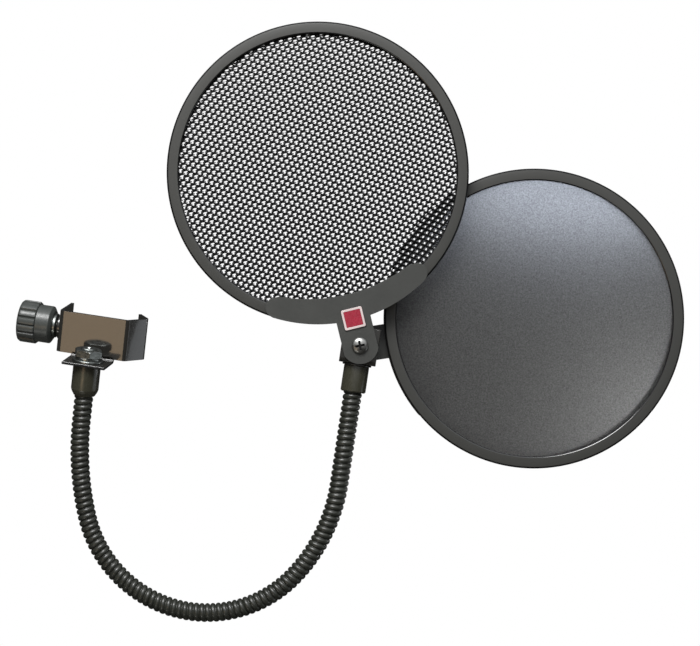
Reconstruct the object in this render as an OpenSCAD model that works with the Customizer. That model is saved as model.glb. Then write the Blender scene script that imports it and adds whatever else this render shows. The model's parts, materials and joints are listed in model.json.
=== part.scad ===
// Double pop filter on a gooseneck with a clamp for a microphone stand.
// The frame's origin is on the axis of a stand tube held in the clamp's V jaw, half way up the
// clamp. +Z runs up the tube, -Y faces the reader's side, and +X points at the V and the screens.

/* [Stand clamp] */
// Diameter of the stand tube that the jaw is drawn around
tube_d = 20; // [18:0.5:20]
// Thickness of the clamp's steel strip
strip_t = 1.5; // [1.2:0.1:1.6]
// Height of the clamp's strip
strip_h = 21.6; // [20:0.2:24]
// Width of the front plate between its two bends
plate_w = 36.7; // [35:0.1:38]
// Distance from the tube's axis forward to the front plate's outer face
plate_y = 12; // [11.8:0.1:12.4]
// Depth of the flange that carries the screw
flange_d = 24; // [22:0.5:26]
// Angle of each wall of the V to the screw's axis
vee_angle = 55.3; // [50:0.1:58]
// Depth of the lip behind the V's corner
lip_d = 9.5; // [7:0.5:10]
// Width of the tab under the front plate
tab_w = 22.8; // [20:0.2:24]
// Distance from the tube's axis forward to the tab's front edge
tab_y = 30.7; // [30:0.1:31.5]

/* [Clamp screw and knob] */
// Diameter of the clamp screw
screw_d = 6; // [5:0.5:6]
// Diameter of the knob's grip
knob_d = 22; // [20:0.5:24]
// Length of the knob's grip
grip_len = 9.6; // [8:0.2:12]
// Number of flutes round the grip
flutes = 16; // [12:1:20]
// Diameter of the knob's collar
collar_d = 19.5; // [18:0.5:20]
// Length of the knob's collar
collar_len = 8.3; // [7:0.1:10]
// Position of the pad's face along the screw's axis
pad_face_x = -2; // [-6:0.5:-2]

/* [Gooseneck] */
// Outer diameter of the gooseneck
neck_d = 9.8; // [9:0.1:10]
// Diameter of the core wire inside it
core_d = 4.4; // [3:0.1:5]
// Position of the neck's axis along X, from the tube's axis
neck_x = -11.2; // [-12:0.1:-10]
// Distance from the tube's axis forward to the neck's axis
neck_y = 21.5; // [21:0.1:22]
// Lean of the neck's second half away from the reader's side
lean = 11; // [0:0.5:14]

/* [Screens] */
// Outer diameter of each screen's ring
ring_d = 155; // [150:1:158]
// Width of the ring's face
ring_w = 6.2; // [5.6:0.1:7]
// Depth of the ring, front bezel and back bezel together
ring_h = 7; // [6.6:0.1:7]
// Distance from the pivot to each screen's centre
arm_len = 91.2; // [90:0.1:94]
// Angle of the metal screen's arm from the yoke's axis
metal_angle = -22.2; // [-40:0.1:40]
// Angle of the fabric screen's arm from the yoke's axis
fabric_angle = 72.8; // [40:0.1:90]
// Depth of the yoke, outside to outside
yoke_depth = 16; // [16:0.2:18]
// Width of the yoke
yoke_w = 19; // [18.5:0.5:21]
// Turn of the yoke about the neck's axis
yoke_turn = 7.7; // [0:0.1:12]

/* [Hidden] */
$fn = 96;

// Colours
dark_steel = [0.12, 0.12, 0.13];
plain_steel = [0.62, 0.63, 0.65];
black_plastic = [0.16, 0.17, 0.16];
rim_grey = [0.30, 0.31, 0.28];
neck_black = [0.13, 0.13, 0.13];
rubber_black = [0.06, 0.06, 0.06];
cloth_grey = [0.32, 0.32, 0.34];
mesh_grey = [0.45, 0.45, 0.46];
badge_red = [0.66, 0.13, 0.22];

// Overlap that lets a cut run clear of a face
cut = 1;

// Flats that make up each bend of a sheet
bend_steps = 10;

// Clamp strip, seen from above: sharp corners of its outer face
bend_r = 2.6;
vee_x = (tube_d / 2 + strip_t) / sin(vee_angle);
vee_root_x = vee_x - plate_y / tan(vee_angle);
flange_x = vee_root_x - plate_w;
clamp_corners = [
    [flange_x, flange_d - plate_y],
    [flange_x, -plate_y],
    [vee_root_x, -plate_y],
    [vee_x, 0],
    [vee_x - lip_d / tan(vee_angle), lip_d]
];

// Tab, bent forward just below the strip's lower edge
tab_drop = 0.6;
tab_fillet = 0.8;
tab_top = -strip_h / 2 - tab_drop;
tab_bottom = tab_top - strip_t;

// Stud and nut that hold the neck on the tab
stud_r = 4;
stud_show = 0.7;
stud_hole_r = 4.2;
washer_t = 1.2;
washer_r = 8;
lock_t = 1.2;
lock_r = 6.6;
nut_t = 4;
nut_flats = 13;
stud_top = tab_top + washer_t + lock_t + nut_t + stud_show;

// Ferrules
socket_clear = 0.1;
lower_r = 7.1;
lower_len = 17.2;
lower_chamfer = 3.4;
lower_bottom = tab_bottom - lower_len;
socket_depth = 11;
upper_r = 6.5;
upper_len = 13.7;

// Clamp screw parts, along X
screw_r = screw_d / 2;
screw_clear = 0.08;
bush_r = 5;
boss_r = 6.6;
boss_t = 2.1;
shoulder_r = 6.3;
shoulder_t = 2;
knob_gap = 0.8;
shoulder_x = flange_x - boss_t - knob_gap;
collar_x = shoulder_x - shoulder_t;
grip_x = collar_x - collar_len;
knob_end_x = grip_x - grip_len;
insert_r = 5;
insert_len = 12;
cap_r = 7.5;
cap_t = 1.4;
flute_r = 0.9;
facing_t = 1.8;
facing_r = 6.5;
pad_t = 3.7;
pad_r = 7;
pad_back_x = pad_face_x - facing_t - pad_t;
ball_r = 2.4;
ball_inset = 3;
ball_x = pad_face_x - facing_t - ball_inset;
ball_neck = 0.4;

// Gooseneck route, one entry for each segment: [radius, angle] is an arc, [0, length] is straight.
// The first half runs down and round to the lowest point, and the second half runs up from it.
neck_r = neck_d / 2;
core_r = core_d / 2;
core_clear = 0.1;
down_run = [[0, 13], [154, 19], [61.5, 35.5], [61.5, 35.5]];
up_run = [[64.5, 55.5], [88, 34.5], [0, 47.6]];
ball_step = 0.3;
ball_end_r = neck_r - ball_step;
ball_room_r = neck_r + ball_step;

// Where a run has got to: [x, z, heading] in the neck's plane
function step_on(p, s) =
    s[0] == 0
    ? [p[0] + s[1] * cos(p[2]), p[1] + s[1] * sin(p[2]), p[2]]
    : [p[0] + s[0] * (sin(p[2] + s[1]) - sin(p[2])),
       p[1] - s[0] * (cos(p[2] + s[1]) - cos(p[2])), p[2] + s[1]];
function place_after(start, run, n) =
    n == 0 ? start : step_on(place_after(start, run, n - 1), run[n - 1]);

down_span = place_after([0, 0, -90], down_run, len(down_run));
down_start = [-down_span[0], -down_span[1], -90];
up_start = [0, 0, 0];
up_end = place_after(up_start, up_run, len(up_run));
low_point = [neck_x - down_start[0], -neck_y, lower_bottom - down_start[1]];

// Yoke, from the pivot
yoke_t = 1.5;
yoke_bend_r = 2.4;
yoke_washer_t = 1;
yoke_washer_r = 7.5;
yoke_base = -9.6;
yoke_top = 9.5;
pivot_height = up_end[1] + upper_len + yoke_washer_t - yoke_base;
yoke_screw_r = 2.5;
yoke_head_r = 4.2;
yoke_head_t = 2;

// Pivot screw and what it clamps, measured forward from the yoke's middle
side = yoke_depth / 2;
slip = 0.05;
friction_t = 0.45;
friction_r = 7;
arm_t = 1.5;
pivot_r = 2;
pivot_clear = 0.08;
pivot_head_r = 4.2;
pivot_head_t = 2.4;
pivot_nut_t = 4.6;
pivot_nut_flats = 7;
spacer_r = 3.2;
arm_face = side + friction_t + slip;

// Screens
ring_r = ring_d / 2;
ring_in = ring_r - ring_w;
ring_edge_r = 1.6;
pocket_r = ring_r - 2.1;
pocket_from = 2.2;
pocket_to = 3.2;
seam = 3.4;
disc_clear = 0.2;
cloth_t = 0.4;
hoop_in = ring_in + 1.2;
screw_ring_r = ring_in + 2.1;
ring_screw_r = 0.8;
ring_head_r = 1.6;
ring_head_t = 1;
ring_screws = 6;
tongue_w = 17.9;
tongue_end_r = 9.5;
crescent_half = 31;
crescent_out = ring_r + 0.3;
crescent_mid = 64.2;
crescent_shift = 21.5;
crescent_end_r = 5.2;
badge_w = 11.4;
badge_h = 11;
badge_t = 0.8;
badge_at = 14.3;

// Frame of the neck's first half: X and Y here are the row's X and Z
module down_plane() {
    translate(low_point) rotate([90, 0, 0]) children();
}

// Frame of the neck's second half, leaning back
module up_plane() {
    translate(low_point) rotate([-lean, 0, 0]) rotate([90, 0, 0]) children();
}

// Frame at the top end of the neck, +Z up the neck's axis
module neck_top() {
    translate(low_point) rotate([-lean, 0, 0]) translate([up_end[0], 0, up_end[1]]) children();
}

// Frame at the pivot: X right, Y up the yoke, Z forward along the pivot screw
module pivot_frame() {
    translate(low_point) rotate([-lean, 0, 0]) translate([up_end[0], 0, pivot_height])
        rotate([0, 0, yoke_turn]) rotate([90, 0, 0]) children();
}

// Frame of a screen's arm: Y runs from the pivot to the screen's centre
module arm_frame(angle) {
    pivot_frame() rotate([0, 0, -angle]) children();
}

// Points round a corner of a path that turns left, at a given distance inside the path
function round_corner(corners, i, outer_r, inside) =
    let (before = corners[i] - corners[i - 1], after = corners[i + 1] - corners[i],
         from = atan2(before[1], before[0]),
         turn = (atan2(after[1], after[0]) - from + 360) % 360,
         centre = corners[i] - outer_r * tan(turn / 2) * before / norm(before)
                  + outer_r * [-sin(from), cos(from)])
    [for (k = [0:bend_steps]) let (at = from - 90 + turn * k / bend_steps)
        centre + (outer_r - inside) * [cos(at), sin(at)]];

// The end of such a path, at a given distance inside it
function strip_end(at, towards, inside) =
    let (along = (towards - at) / norm(towards - at)) at + inside * [-along[1], along[0]];

// Outline of a sheet bent along the corners of its outer face, all turning left
function strip_side(corners, outer_r, inside) =
    let (last = len(corners) - 1)
    concat([strip_end(corners[0], corners[1], inside)],
           [for (i = [1:last - 1]) each round_corner(corners, i, outer_r, inside)],
           [corners[last] + strip_end(corners[last - 1], corners[last], inside)
            - corners[last - 1]]);
function reversed(list) = [for (i = [len(list) - 1:-1:0]) list[i]];

module bent_strip(corners, height, thick, outer_r) {
    translate([0, 0, -height / 2]) linear_extrude(height)
        polygon(concat(strip_side(corners, outer_r, 0), reversed(strip_side(corners, outer_r, thick))));
}

// Cylinder along X, from one position to another
module x_rod(from, to, r) {
    translate([from, 0, 0]) rotate([0, 90, 0]) cylinder(r = r, h = to - from);
}

module clamp_bracket() {
    color(dark_steel) difference() {
        union() {
            bent_strip(clamp_corners, strip_h, strip_t, bend_r);
            clamp_tab();
        }
        x_rod(flange_x - cut, flange_x + strip_t + cut, bush_r);
        translate([neck_x, -neck_y, tab_bottom - cut]) cylinder(r = stud_hole_r, h = strip_t + 2 * cut);
    }
}

// Side view of the tab, listed [back, up] from its front edge round its bend into the plate
module clamp_tab() {
    root = [-plate_y + strip_t, -strip_h / 2 + strip_t];
    corners = [[-tab_y, tab_bottom], [root[0], tab_bottom], root];
    translate([neck_x, 0, 0]) rotate([90, 0, 90])
        bent_strip(corners, tab_w, strip_t, strip_t + tab_fillet);
}

module screw_bush() {
    color(dark_steel) difference() {
        union() {
            x_rod(flange_x - boss_t, flange_x, boss_r);
            x_rod(flange_x - boss_t, flange_x + strip_t, bush_r);
        }
        x_rod(flange_x - boss_t - cut, flange_x + strip_t + cut, screw_r + screw_clear);
    }
}

module clamp_screw() {
    color(plain_steel) {
        x_rod(collar_x - insert_len + shoulder_t, ball_x - ball_neck, screw_r);
        translate([ball_x, 0, 0]) sphere(r = ball_r);
    }
}

module knob_body() {
    chamfer = 1.2;
    round_r = 1.5;
    flute_out = 0.3;
    flute_stop = 0.6;
    color(black_plastic) difference() {
        translate([knob_end_x, 0, 0]) rotate([0, 90, 0]) difference() {
            rotate_extrude() union() {
                square([knob_d / 2 - round_r, grip_len]);
                translate([0, round_r]) square([knob_d / 2, grip_len - round_r]);
                translate([knob_d / 2 - round_r, round_r]) circle(r = round_r);
                translate([0, grip_len - cut]) square([collar_d / 2, collar_len - chamfer + cut]);
                polygon([[0, grip_len], [collar_d / 2, grip_len + collar_len - chamfer],
                         [collar_d / 2 - 2 * chamfer, grip_len + collar_len],
                         [0, grip_len + collar_len]]);
            }
            for (i = [0:flutes - 1])
                rotate([0, 0, i * 360 / flutes]) translate([knob_d / 2 + flute_out, 0, -cut])
                    cylinder(r = flute_r, h = grip_len - flute_stop + cut, $fn = 24);
            translate([0, 0, -cut]) cylinder(r = cap_r, h = cap_t + cut);
        }
        x_rod(collar_x - insert_len, collar_x + cut, insert_r);
    }
}

module knob_insert() {
    color(plain_steel) difference() {
        union() {
            x_rod(collar_x - insert_len, collar_x + cut / 2, insert_r);
            x_rod(collar_x, shoulder_x, shoulder_r);
        }
        x_rod(collar_x - insert_len + shoulder_t, shoulder_x + cut, screw_r);
    }
}

module knob_cap() {
    cap_gap = 0.1;
    color(black_plastic) x_rod(knob_end_x, knob_end_x + cap_t, cap_r - cap_gap);
}

module pressure_pad() {
    pad_bore_gap = 0.3;
    color(plain_steel) difference() {
        x_rod(pad_back_x, pad_back_x + pad_t, pad_r);
        translate([ball_x, 0, 0]) sphere(r = ball_r + screw_clear);
        x_rod(pad_back_x - cut, ball_x, screw_r + pad_bore_gap);
    }
}

module pad_facing() {
    color(rubber_black) x_rod(pad_face_x - facing_t, pad_face_x, facing_r);
}

// Flat ring standing on z, on the stud's axis
module stud_ring(z, thick, outer_r) {
    translate([neck_x, -neck_y, z]) difference() {
        cylinder(r = outer_r, h = thick);
        translate([0, 0, -cut]) cylinder(r = stud_hole_r, h = thick + 2 * cut);
    }
}

module tab_washer() {
    color(plain_steel) stud_ring(tab_top, washer_t, washer_r);
}

// Split spring washer with its slit
module lock_washer() {
    slit = 1;
    color(plain_steel) difference() {
        stud_ring(tab_top + washer_t, lock_t, lock_r);
        translate([neck_x, -neck_y - slit / 2, tab_top + washer_t - cut])
            cube([lock_r + cut, slit, lock_t + 2 * cut]);
    }
}

// Hexagon nut standing on the plane z = 0, with its corners turned down
module hex_nut(flats, thick, bore_r) {
    corner_r = flats / 2 / cos(30);
    bevel = corner_r - flats / 2;
    difference() {
        intersection() {
            cylinder(r = corner_r, h = thick, $fn = 6);
            rotate_extrude() polygon([[0, 0], [corner_r - bevel, 0], [corner_r, bevel / 2],
                                      [corner_r, thick - bevel / 2], [corner_r - bevel, thick],
                                      [0, thick]]);
        }
        translate([0, 0, -cut]) cylinder(r = bore_r, h = thick + 2 * cut);
    }
}

module tab_nut() {
    color(plain_steel) translate([neck_x, -neck_y, tab_top + washer_t + lock_t])
        rotate([0, 0, 20]) hex_nut(nut_flats, nut_t, stud_r);
}

module lower_ferrule() {
    mouth_r = 5.3;
    ease_r = 0.6;
    ease_z = 0.8;
    color(dark_steel) translate([neck_x, -neck_y, 0]) difference() {
        union() {
            translate([0, 0, lower_bottom]) rotate_extrude()
                polygon([[0, 0], [mouth_r, 0], [lower_r - ease_r, lower_chamfer - ease_z],
                         [lower_r, lower_chamfer + ease_z], [lower_r, lower_len], [0, lower_len]]);
            translate([0, 0, tab_bottom - cut]) cylinder(r = stud_r, h = stud_top - tab_bottom + cut);
        }
        translate([0, 0, lower_bottom - cut])
            cylinder(r = neck_r + socket_clear, h = socket_depth + cut);
    }
}

// Stretch n of a run as a tube. A straight one is longer by extra: [at its start, at its end]
module stretch(start, run, n, outer_r, inner_r, extra) {
    p = place_after(start, run, n);
    r = run[n][0];
    length = run[n][1] + extra[0] + extra[1];
    if (r == 0)
        translate([p[0], p[1], 0]) rotate([0, 0, p[2]]) rotate([0, 90, 0])
            translate([0, 0, -extra[0]]) difference() {
                cylinder(r = outer_r, h = length);
                if (inner_r > 0) translate([0, 0, -cut]) cylinder(r = inner_r, h = length + 2 * cut);
            }
    else
        translate([p[0] - r * sin(p[2]), p[1] + r * cos(p[2]), 0]) rotate([0, 0, p[2] - 90])
            rotate_extrude(angle = run[n][1]) translate([r, 0]) difference() {
                circle(r = outer_r);
                if (inner_r > 0) circle(r = inner_r);
            }
}

// Ball at the place where a run's stretch n begins
module ball_at(start, run, n, r) {
    p = place_after(start, run, n);
    translate([p[0], p[1], 0]) rotate([0, 0, p[2]]) rotate([0, 90, 0]) sphere(r = r);
}

// Segment of the conduit. A ball closes it where the next segment bends on it, and its own first
// end is hollowed to take the ball before it.
module neck_segment(start, run, n, ball_before, ball_after, extra = [0, 0]) {
    color(neck_black) difference() {
        union() {
            stretch(start, run, n, neck_r, core_r + core_clear, extra);
            if (ball_after) ball_at(start, run, n + 1, ball_end_r);
        }
        if (ball_before) ball_at(start, run, n, ball_room_r);
    }
}

module core_segment(start, run, n, ball_before, ball_after, extra = [0, 0]) {
    color(plain_steel) difference() {
        stretch(start, run, n, core_r, 0, extra);
        if (ball_before) ball_at(start, run, n, ball_room_r);
        if (ball_after) ball_at(start, run, n + 1, ball_end_r + core_clear);
    }
}

module neck_1() {
    down_plane() neck_segment(down_start, down_run, 0, false, true, [socket_depth, 0]);
}

module neck_2() {
    down_plane() neck_segment(down_start, down_run, 1, true, true);
}

module neck_3() {
    down_plane() neck_segment(down_start, down_run, 2, true, true);
}

module neck_4() {
    down_plane() neck_segment(down_start, down_run, 3, true, true);
}

module neck_5() {
    up_plane() neck_segment(up_start, up_run, 0, true, true);
}

module neck_6() {
    up_plane() neck_segment(up_start, up_run, 1, true, true);
}

module neck_7() {
    up_plane() neck_segment(up_start, up_run, 2, true, false, [0, socket_depth]);
}

module core_1() {
    down_plane() core_segment(down_start, down_run, 0, false, true, [socket_depth, 0]);
}

module core_2() {
    down_plane() core_segment(down_start, down_run, 1, true, true);
}

module core_3() {
    down_plane() core_segment(down_start, down_run, 2, true, true);
}

module core_4() {
    down_plane() core_segment(down_start, down_run, 3, true, true);
}

module core_5() {
    up_plane() core_segment(up_start, up_run, 0, true, true);
}

module core_6() {
    up_plane() core_segment(up_start, up_run, 1, true, true);
}

module core_7() {
    up_plane() core_segment(up_start, up_run, 2, true, false, [0, socket_depth]);
}

module upper_ferrule() {
    edge = 0.5;
    color(dark_steel) neck_top() difference() {
        rotate_extrude() polygon([[0, 0], [upper_r - edge, 0], [upper_r, edge], [upper_r, upper_len],
                                  [0, upper_len]]);
        translate([0, 0, -cut]) cylinder(r = neck_r + socket_clear, h = socket_depth + cut);
        cylinder(r = yoke_screw_r, h = upper_len + cut);
    }
}

module yoke_washer() {
    color(dark_steel) neck_top() translate([0, 0, upper_len]) difference() {
        cylinder(r = yoke_washer_r, h = yoke_washer_t);
        translate([0, 0, -cut]) cylinder(r = yoke_screw_r, h = yoke_washer_t + 2 * cut);
    }
}

// Screw down through the yoke's base into the ferrule
module yoke_screw() {
    under_head = yoke_base + yoke_t;
    color(plain_steel) pivot_frame() rotate([-90, 0, 0]) {
        translate([0, 0, under_head]) cylinder(r = yoke_head_r, h = yoke_head_t);
        translate([0, 0, yoke_base - yoke_washer_t - upper_len + socket_depth])
            cylinder(r = yoke_screw_r, h = yoke_washer_t + upper_len - socket_depth + yoke_t);
    }
}

// Folded strip, its corners listed forward and up from the pivot
module yoke_bracket() {
    corners = [[side, yoke_top], [side, yoke_base], [-side, yoke_base], [-side, yoke_top]];
    mirrored = [for (c = corners) [-c[0], c[1]]];
    color(dark_steel) pivot_frame() difference() {
        rotate([0, 90, 0]) bent_strip(mirrored, yoke_w, yoke_t, yoke_bend_r);
        translate([0, 0, -side - cut]) cylinder(r = pivot_r + pivot_clear, h = 2 * side + 2 * cut);
        rotate([-90, 0, 0]) translate([0, 0, yoke_base - cut])
            cylinder(r = yoke_screw_r, h = yoke_t + 2 * cut);
    }
}

// Pan head with its cross recess, and the shank behind it
module pivot_screw() {
    recess_w = 1;
    recess_l = 4.6;
    recess_d = 1.5;
    recess_turn = 20;
    tail = 0.6;
    head_at = arm_face + arm_t + slip;
    tail_at = -arm_face - arm_t - slip - pivot_nut_t - tail;
    color(plain_steel) pivot_frame() {
        difference() {
            translate([0, 0, head_at]) rotate_extrude()
                polygon([[0, 0], [pivot_head_r, 0], [pivot_head_r, 0.9], [pivot_head_r - 0.5, 1.6],
                         [pivot_head_r - 1.5, pivot_head_t - 0.2],
                         [pivot_head_r - 2.4, pivot_head_t], [0, pivot_head_t]]);
            for (turn = [recess_turn, recess_turn + 90])
                translate([0, 0, head_at + pivot_head_t - recess_d]) rotate([0, 0, turn])
                    translate([-recess_l / 2, -recess_w / 2, 0])
                        cube([recess_l, recess_w, recess_d + cut]);
        }
        translate([0, 0, tail_at]) cylinder(r = pivot_r, h = head_at - tail_at);
    }
}

// Tube that keeps the yoke's two sides apart
module pivot_spacer() {
    length = yoke_depth - 2 * yoke_t;
    color(plain_steel) pivot_frame() translate([0, 0, -length / 2]) difference() {
        cylinder(r = spacer_r, h = length);
        translate([0, 0, -cut]) cylinder(r = pivot_r + pivot_clear, h = length + 2 * cut);
    }
}

module pivot_nut() {
    color(plain_steel) pivot_frame() translate([0, 0, -arm_face - arm_t - slip - pivot_nut_t])
        hex_nut(pivot_nut_flats, pivot_nut_t, pivot_r);
}

// One washer between each arm and the yoke
module friction_washers() {
    color(rubber_black) pivot_frame() for (at = [side, -side - friction_t])
        translate([0, 0, at]) difference() {
            cylinder(r = friction_r, h = friction_t);
            translate([0, 0, -cut]) cylinder(r = pivot_r + pivot_clear, h = friction_t + 2 * cut);
        }
}

// Outline of an arm: a tongue from the pivot and a crescent that lies on the ring
module arm_outline() {
    reach = 200;
    end_step = 3;
    end_at = (crescent_mid + end_step + crescent_out) / 2;
    difference() {
        union() {
            circle(r = tongue_end_r);
            translate([-tongue_w / 2, 0]) square([tongue_w, arm_len - crescent_mid - end_step]);
            translate([0, arm_len]) {
                difference() {
                    intersection() {
                        circle(r = crescent_out);
                        polygon([[0, 0], [reach * sin(crescent_half), -reach * cos(crescent_half)],
                                 [-reach * sin(crescent_half), -reach * cos(crescent_half)]]);
                    }
                    translate([0, crescent_shift]) circle(r = crescent_mid + crescent_shift);
                }
                for (turn = [-1, 1])
                    rotate(turn * crescent_half) translate([0, -end_at]) circle(r = crescent_end_r);
            }
        }
        circle(r = pivot_r + pivot_clear);
    }
}

// Positions of the ring's screws: the first points at the pivot
module each_ring_screw(angle) {
    arm_frame(angle) translate([0, arm_len, 0]) for (i = [0:ring_screws - 1])
        rotate([0, 0, -90 + i * 360 / ring_screws]) translate([screw_ring_r, 0, 0]) children();
}

// Front bezel, its face on z = 0 and its back towards -Z
module front_bezel() {
    rotate_extrude() difference() {
        union() {
            translate([ring_in, -seam]) square([ring_w - ring_edge_r, seam]);
            translate([ring_r - ring_edge_r - cut, -seam])
                square([ring_edge_r + cut, seam - ring_edge_r]);
            translate([ring_r - ring_edge_r, -ring_edge_r]) circle(r = ring_edge_r);
        }
        translate([ring_in - cut, -seam - cut])
            square([pocket_r - ring_in + cut, seam + cut - pocket_from]);
    }
}

// Back bezel, from the seam to the ring's back face
module back_bezel() {
    rotate_extrude() {
        translate([ring_in, -ring_h]) square([ring_w - ring_edge_r, ring_h - seam]);
        translate([ring_in, -seam - cut / 2])
            square([pocket_r - ring_in - disc_clear / 2, cut / 2 + seam - pocket_to]);
        translate([ring_r - ring_edge_r - cut, -ring_h + ring_edge_r])
            square([ring_edge_r + cut, ring_h - seam - ring_edge_r]);
        translate([ring_r - ring_edge_r, -ring_h + ring_edge_r]) circle(r = ring_edge_r);
    }
}

// Screws from the back, heads sunk flush; face is the z of the ring's front face
module ring_screw_shape(face, clear) {
    tip_cover = 0.8;
    over = clear > 0 ? cut : 0;
    translate([0, 0, face - ring_h - over])
        cylinder(r = ring_head_r + clear, h = ring_head_t + over, $fn = 32);
    translate([0, 0, face - ring_h])
        cylinder(r = ring_screw_r + clear, h = ring_h - tip_cover + clear, $fn = 32);
}

// A screen's part placed by its ring's front face, with the screws' holes taken out
module ring_part(angle, face) {
    difference() {
        arm_frame(angle) translate([0, arm_len, face]) children();
        each_ring_screw(angle) ring_screw_shape(face, 0.05);
    }
}

// Front faces of the two rings
metal_face = arm_face;
fabric_face = -arm_face + ring_h;

module metal_arm() {
    color(dark_steel) arm_frame(metal_angle) translate([0, 0, arm_face])
        linear_extrude(arm_t) arm_outline();
}

module metal_ring_front() {
    color(rim_grey) ring_part(metal_angle, metal_face) front_bezel();
}

module metal_ring_back() {
    color(rim_grey) ring_part(metal_angle, metal_face) back_bezel();
}

// The expanded metal's outer size, as a plain disc
module metal_mesh() {
    color(mesh_grey) ring_part(metal_angle, metal_face) translate([0, 0, -pocket_to])
        cylinder(r = pocket_r - disc_clear, h = pocket_to - pocket_from);
}

module metal_screws() {
    color(plain_steel) each_ring_screw(metal_angle) ring_screw_shape(metal_face, 0);
}

// Plain square badge with round corners
module badge() {
    corner = 1;
    color(badge_red) arm_frame(metal_angle) translate([0, badge_at, arm_face + arm_t])
        linear_extrude(badge_t) union() {
            square([badge_w, badge_h - 2 * corner], center = true);
            square([badge_w - 2 * corner, badge_h], center = true);
            for (x = [-1, 1], y = [-1, 1])
                translate([x * (badge_w / 2 - corner), y * (badge_h / 2 - corner)])
                    circle(r = corner, $fn = 32);
        }
}

module fabric_arm() {
    color(dark_steel) arm_frame(fabric_angle) translate([0, 0, -arm_face - arm_t])
        linear_extrude(arm_t) arm_outline();
}

module fabric_ring_front() {
    color(rim_grey) ring_part(fabric_angle, fabric_face) front_bezel();
}

module fabric_ring_back() {
    color(rim_grey) ring_part(fabric_angle, fabric_face) back_bezel();
}

module fabric_cloth() {
    color(cloth_grey) ring_part(fabric_angle, fabric_face) translate([0, 0, -pocket_from - cloth_t])
        cylinder(r = pocket_r - disc_clear, h = cloth_t);
}

// Hoop that keeps the cloth tight in its pocket
module fabric_hoop() {
    color(black_plastic) ring_part(fabric_angle, fabric_face) rotate_extrude()
        translate([hoop_in, -pocket_to])
            square([pocket_r - disc_clear - hoop_in, pocket_to - pocket_from - cloth_t]);
}

module fabric_screws() {
    color(plain_steel) each_ring_screw(fabric_angle) ring_screw_shape(fabric_face, 0);
}

clamp_bracket();
screw_bush();
clamp_screw();
knob_body();
knob_insert();
knob_cap();
pressure_pad();
pad_facing();
tab_washer();
lock_washer();
tab_nut();
lower_ferrule();
neck_1();
neck_2();
neck_3();
neck_4();
neck_5();
neck_6();
neck_7();
core_1();
core_2();
core_3();
core_4();
core_5();
core_6();
core_7();
upper_ferrule();
yoke_washer();
yoke_screw();
yoke_bracket();
pivot_screw();
pivot_spacer();
pivot_nut();
friction_washers();
metal_arm();
metal_ring_front();
metal_ring_back();
metal_mesh();
metal_screws();
badge();
fabric_arm();
fabric_ring_front();
fabric_ring_back();
fabric_cloth();
fabric_hoop();
fabric_screws();
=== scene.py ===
import json
import math

import bmesh
import bpy
import numpy as np
from mathutils import Matrix, Vector


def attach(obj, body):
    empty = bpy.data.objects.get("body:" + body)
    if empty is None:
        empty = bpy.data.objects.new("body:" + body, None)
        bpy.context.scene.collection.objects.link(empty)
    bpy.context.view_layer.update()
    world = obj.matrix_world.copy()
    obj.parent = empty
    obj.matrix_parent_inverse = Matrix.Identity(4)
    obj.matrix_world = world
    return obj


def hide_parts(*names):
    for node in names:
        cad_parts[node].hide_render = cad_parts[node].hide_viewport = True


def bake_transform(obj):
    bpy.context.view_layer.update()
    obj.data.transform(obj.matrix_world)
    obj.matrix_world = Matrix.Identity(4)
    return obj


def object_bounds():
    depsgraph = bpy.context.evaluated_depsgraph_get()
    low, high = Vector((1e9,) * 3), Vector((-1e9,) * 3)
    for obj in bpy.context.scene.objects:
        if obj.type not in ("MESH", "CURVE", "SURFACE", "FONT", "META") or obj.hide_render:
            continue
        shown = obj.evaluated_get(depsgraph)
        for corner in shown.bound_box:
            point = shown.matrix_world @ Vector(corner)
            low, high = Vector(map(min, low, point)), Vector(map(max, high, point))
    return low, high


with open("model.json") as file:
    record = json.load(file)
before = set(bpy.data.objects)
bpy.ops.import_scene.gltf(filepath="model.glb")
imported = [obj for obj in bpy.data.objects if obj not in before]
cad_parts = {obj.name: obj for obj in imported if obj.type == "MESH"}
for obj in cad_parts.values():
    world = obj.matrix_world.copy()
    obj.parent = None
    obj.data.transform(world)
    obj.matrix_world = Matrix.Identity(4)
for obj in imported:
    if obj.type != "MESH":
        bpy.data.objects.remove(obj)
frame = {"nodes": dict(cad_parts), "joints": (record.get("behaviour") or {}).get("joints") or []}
cad_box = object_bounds()

MM = 0.001
JOINTS = {j["name"]: j for j in frame["joints"]}
sin, cos, radians, pi = math.sin, math.cos, math.radians, math.pi


def axes(origin, x, y, z):
    """Rigid frame from its three axes."""
    m = Matrix.Identity(4)
    for i, v in enumerate((x, y, z)):
        m.col[i][:3] = v
    m.col[3][:3] = origin
    return m


# ---------------- dimensions, in mm
STRIP_T, STRIP_H, TUBE_R, PLATE_W, PLATE_Y = 1.5, 21.6, 10, 36.7, 12
FLANGE_D, VEE_ANGLE, LIP_D, TAB_W, TAB_Y, BEND_R = 24, radians(55.3), 9.5, 22.8, 30.7, 2.6
VEE_X = (TUBE_R + STRIP_T) / sin(VEE_ANGLE)
VEE_ROOT_X = VEE_X - PLATE_Y / math.tan(VEE_ANGLE)
FLANGE_X = VEE_ROOT_X - PLATE_W
TAB_TOP = -STRIP_H / 2 - 0.6
TAB_BOTTOM = TAB_TOP - STRIP_T
NECK_X, NECK_Y, NECK_R, LEAN = -11.2, 21.5, 4.9, radians(11)
LOWER_LEN, SOCKET, UPPER_LEN, UPPER_R = 17.2, 11, 13.7, 6.5
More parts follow.
